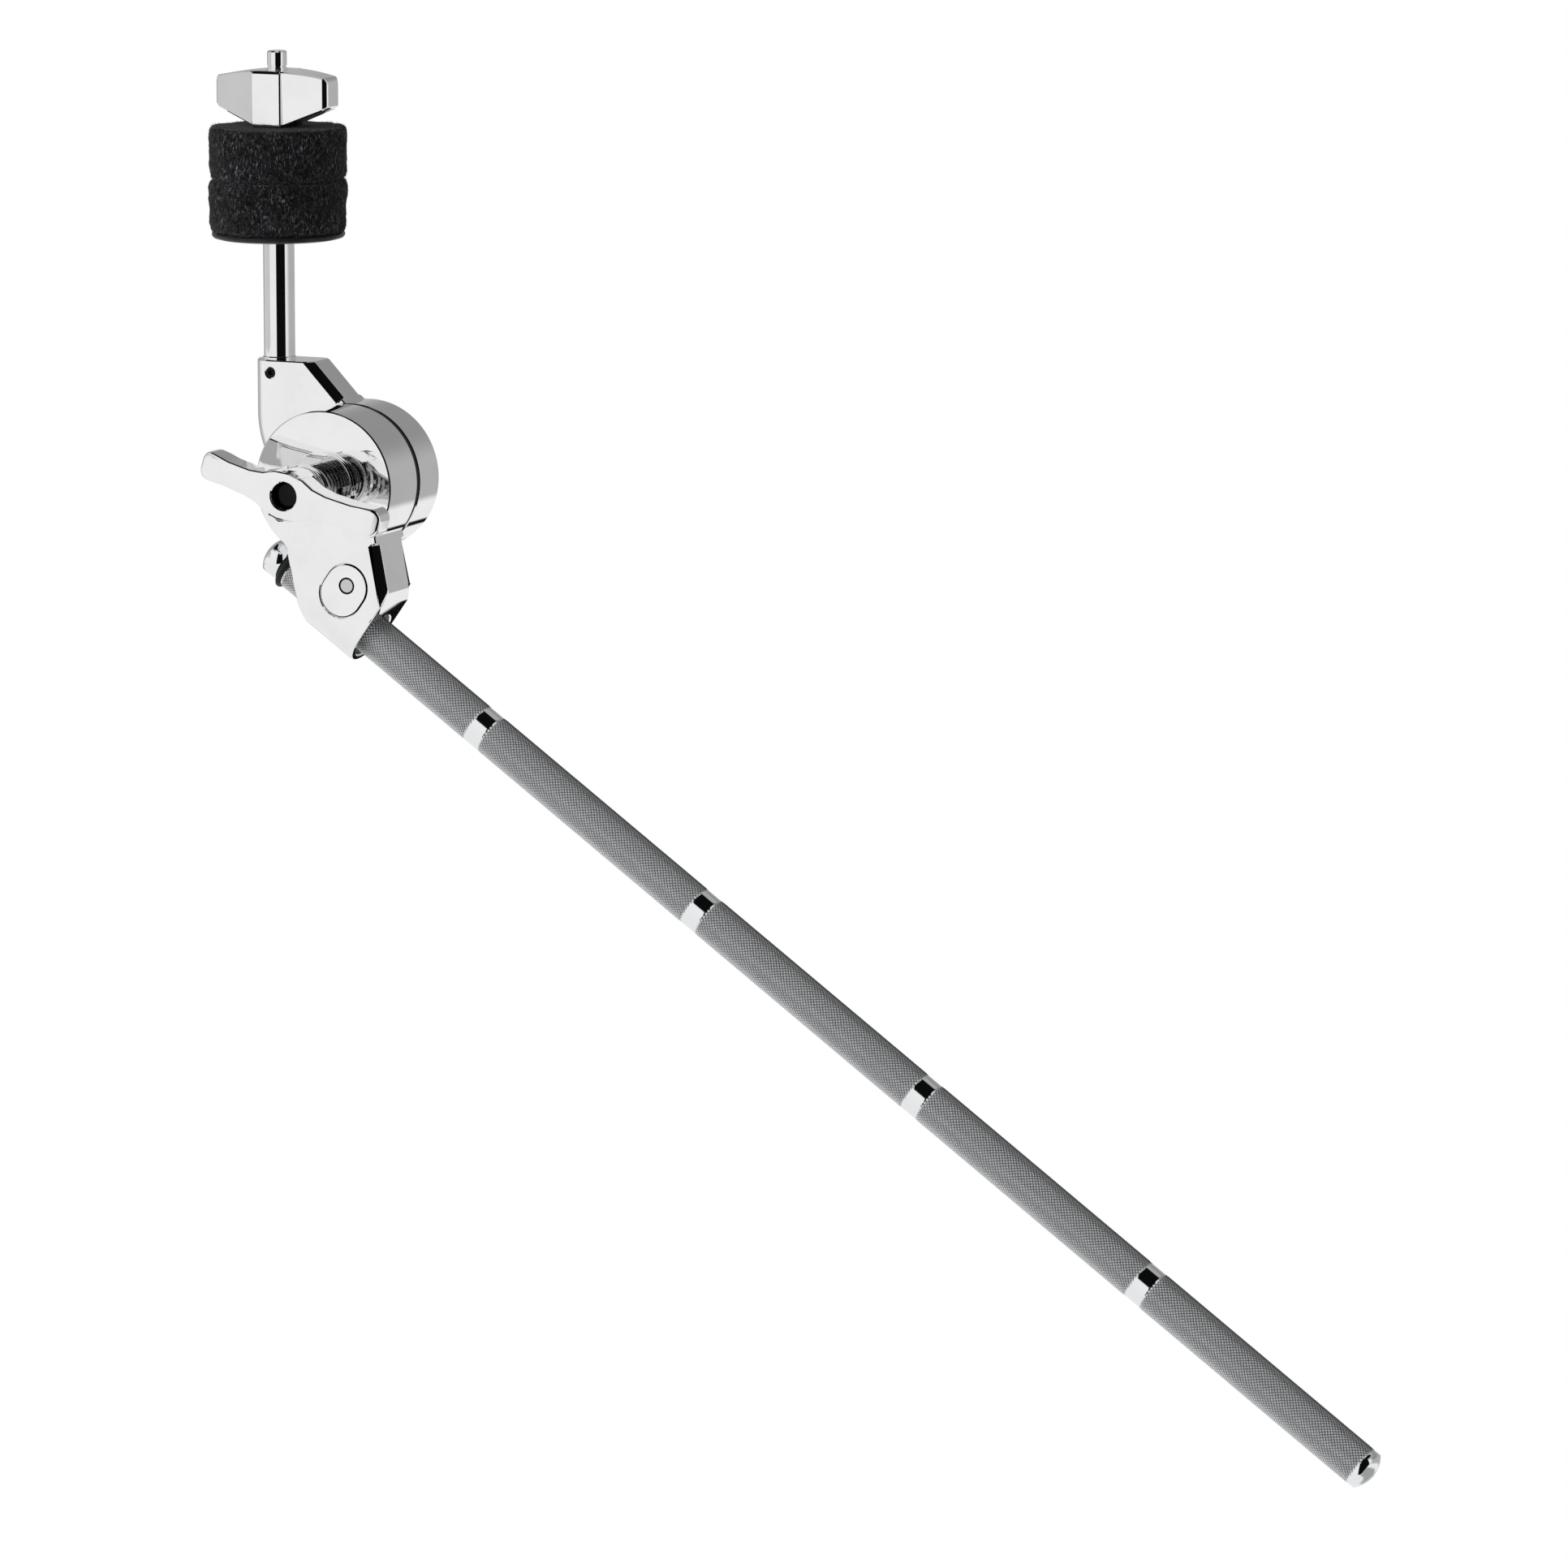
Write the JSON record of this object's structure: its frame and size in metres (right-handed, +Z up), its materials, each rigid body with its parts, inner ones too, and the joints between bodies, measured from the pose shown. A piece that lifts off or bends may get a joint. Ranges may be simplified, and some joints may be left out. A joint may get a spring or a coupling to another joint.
{
  "type": "cymbal boom arm",
  "caption": "Boom arm for a cymbal: knurled rod, clamping tilter with spring-loaded wing nut, upright post with seat, felts and wing nut.",
  "frame": {"origin": "on the boom rod's axis, in the middle of its lowest knurled section, where a stand's boom clamp holds it", "axes": "+Z up, parallel to the upright cymbal post in the rest pose; +X the way the rod runs out from the tilter; +Y from the tilter's wing nut towards the post side"},
  "size_m": [0.3835, 0.0742, 0.4045],
  "materials": {
    "knurled_steel": "satin nickel plate over a diamond knurl, polished bands between the sections",
    "chrome_casting": "polished chrome plate on a die casting",
    "chrome_steel": "polished chrome plate on turned steel",
    "zinc_steel": "bright zinc plate",
    "blackened_steel": "black oxide",
    "black_rubber": "matt",
    "black_nylon": "moulded, slightly satin",
    "friction_lining": "matt fibre",
    "charcoal_felt": "pressed wool felt, fuzzy edge"
  },
  "bodies": {
    "boom": {"boom_rod": "knurled_steel", "rod_stop_ring": "black_rubber"},
    "rod_slider": {"rod_bush": "black_nylon"},
    "lower": {"lower_tilter": "chrome_casting", "friction_disc": "friction_lining", "tilter_washer": "chrome_steel", "tilter_spring": "zinc_steel"},
    "clamp_front": {"cotter_front": "chrome_casting"},
    "clamp_back": {"cotter_back": "chrome_casting", "clamp_washer": "zinc_steel"},
    "clamp_screw": {"clamp_bolt": "zinc_steel"},
    "upper": {"upper_tilter": "chrome_casting", "pivot_bolt": "blackened_steel", "cymbal_post": "chrome_steel", "post_set_screw": "blackened_steel"},
    "nut_carrier": {"tilter_collar": "chrome_steel"},
    "tilter_wing": {"tilter_wing_nut": "chrome_casting"},
    "seat": {"seat_washer": "black_nylon", "cymbal_sleeve": "black_nylon", "lower_felt": "charcoal_felt"},
    "top_felt": {"upper_felt": "charcoal_felt"},
    "post_wing": {"post_wing_nut": "chrome_casting"}
  },
  "joints": [
    {"name": "boom_slide", "type": "slide", "parent": "boom", "child": "rod_slider", "axis": [0.8161, 0, -0.5779], "range_m": [0, 0.305]},
    {"name": "boom_swivel", "type": "hinge", "parent": "rod_slider", "child": "lower", "pos_m": [0, 0, 0], "axis": [0.8161, 0, -0.5779], "continuous": true},
    {"name": "tilt", "type": "hinge", "parent": "lower", "child": "upper", "pos_m": [-0.29683, 0.0096, 0.24772], "axis": [0, 1, 0], "range_deg": [-35, 125]},
    {"name": "tilter_nut_travel", "type": "slide", "parent": "upper", "child": "nut_carrier", "axis": [0, -1, 0], "range_m": [0, 0.005], "deforming": ["tilter_spring"]},
    {"name": "tilter_nut_turn", "type": "hinge", "parent": "nut_carrier", "child": "tilter_wing", "pos_m": [-0.29683, 0.0096, 0.24772], "axis": [0, -1, 0], "range_deg": [0, 1441]},
    {"name": "seat_spin", "type": "hinge", "parent": "upper", "child": "seat", "pos_m": [-0.32443, 0.0171, 0.24772], "axis": [0, 0, 1], "continuous": true},
    {"name": "post_nut_travel", "type": "slide", "parent": "upper", "child": "top_felt", "axis": [0, 0, 1], "range_m": [0, 0.01]},
    {"name": "post_nut_turn", "type": "hinge", "parent": "top_felt", "child": "post_wing", "pos_m": [-0.32443, 0.0171, 0.24772], "axis": [0, 0, 1], "range_deg": [0, 3601]},
    {"name": "clamp_back_travel", "type": "slide", "parent": "lower", "child": "clamp_back", "axis": [0, 1, 0], "range_m": [0, 0.0005]},
    {"name": "clamp_front_travel", "type": "slide", "parent": "lower", "child": "clamp_front", "axis": [0, -1, 0], "range_m": [0, 0.00051]},
    {"name": "clamp_turn", "type": "hinge", "parent": "clamp_back", "child": "clamp_screw", "pos_m": [-0.28922, 0.0096, 0.21789], "axis": [0, 1, 0], "range_deg": [0, 451]}
  ],
  "couplings": [
    {"joint": "tilter_nut_turn", "follows": "tilter_nut_travel", "rad_per_m": 5026.5},
    {"joint": "post_nut_turn", "follows": "post_nut_travel", "rad_per_m": 6283.2},
    {"joint": "clamp_turn", "follows": "clamp_back_travel", "rad_per_m": 15708},
    {"joint": "clamp_front_travel", "follows": "clamp_back_travel", "ratio": 1}
  ]
}
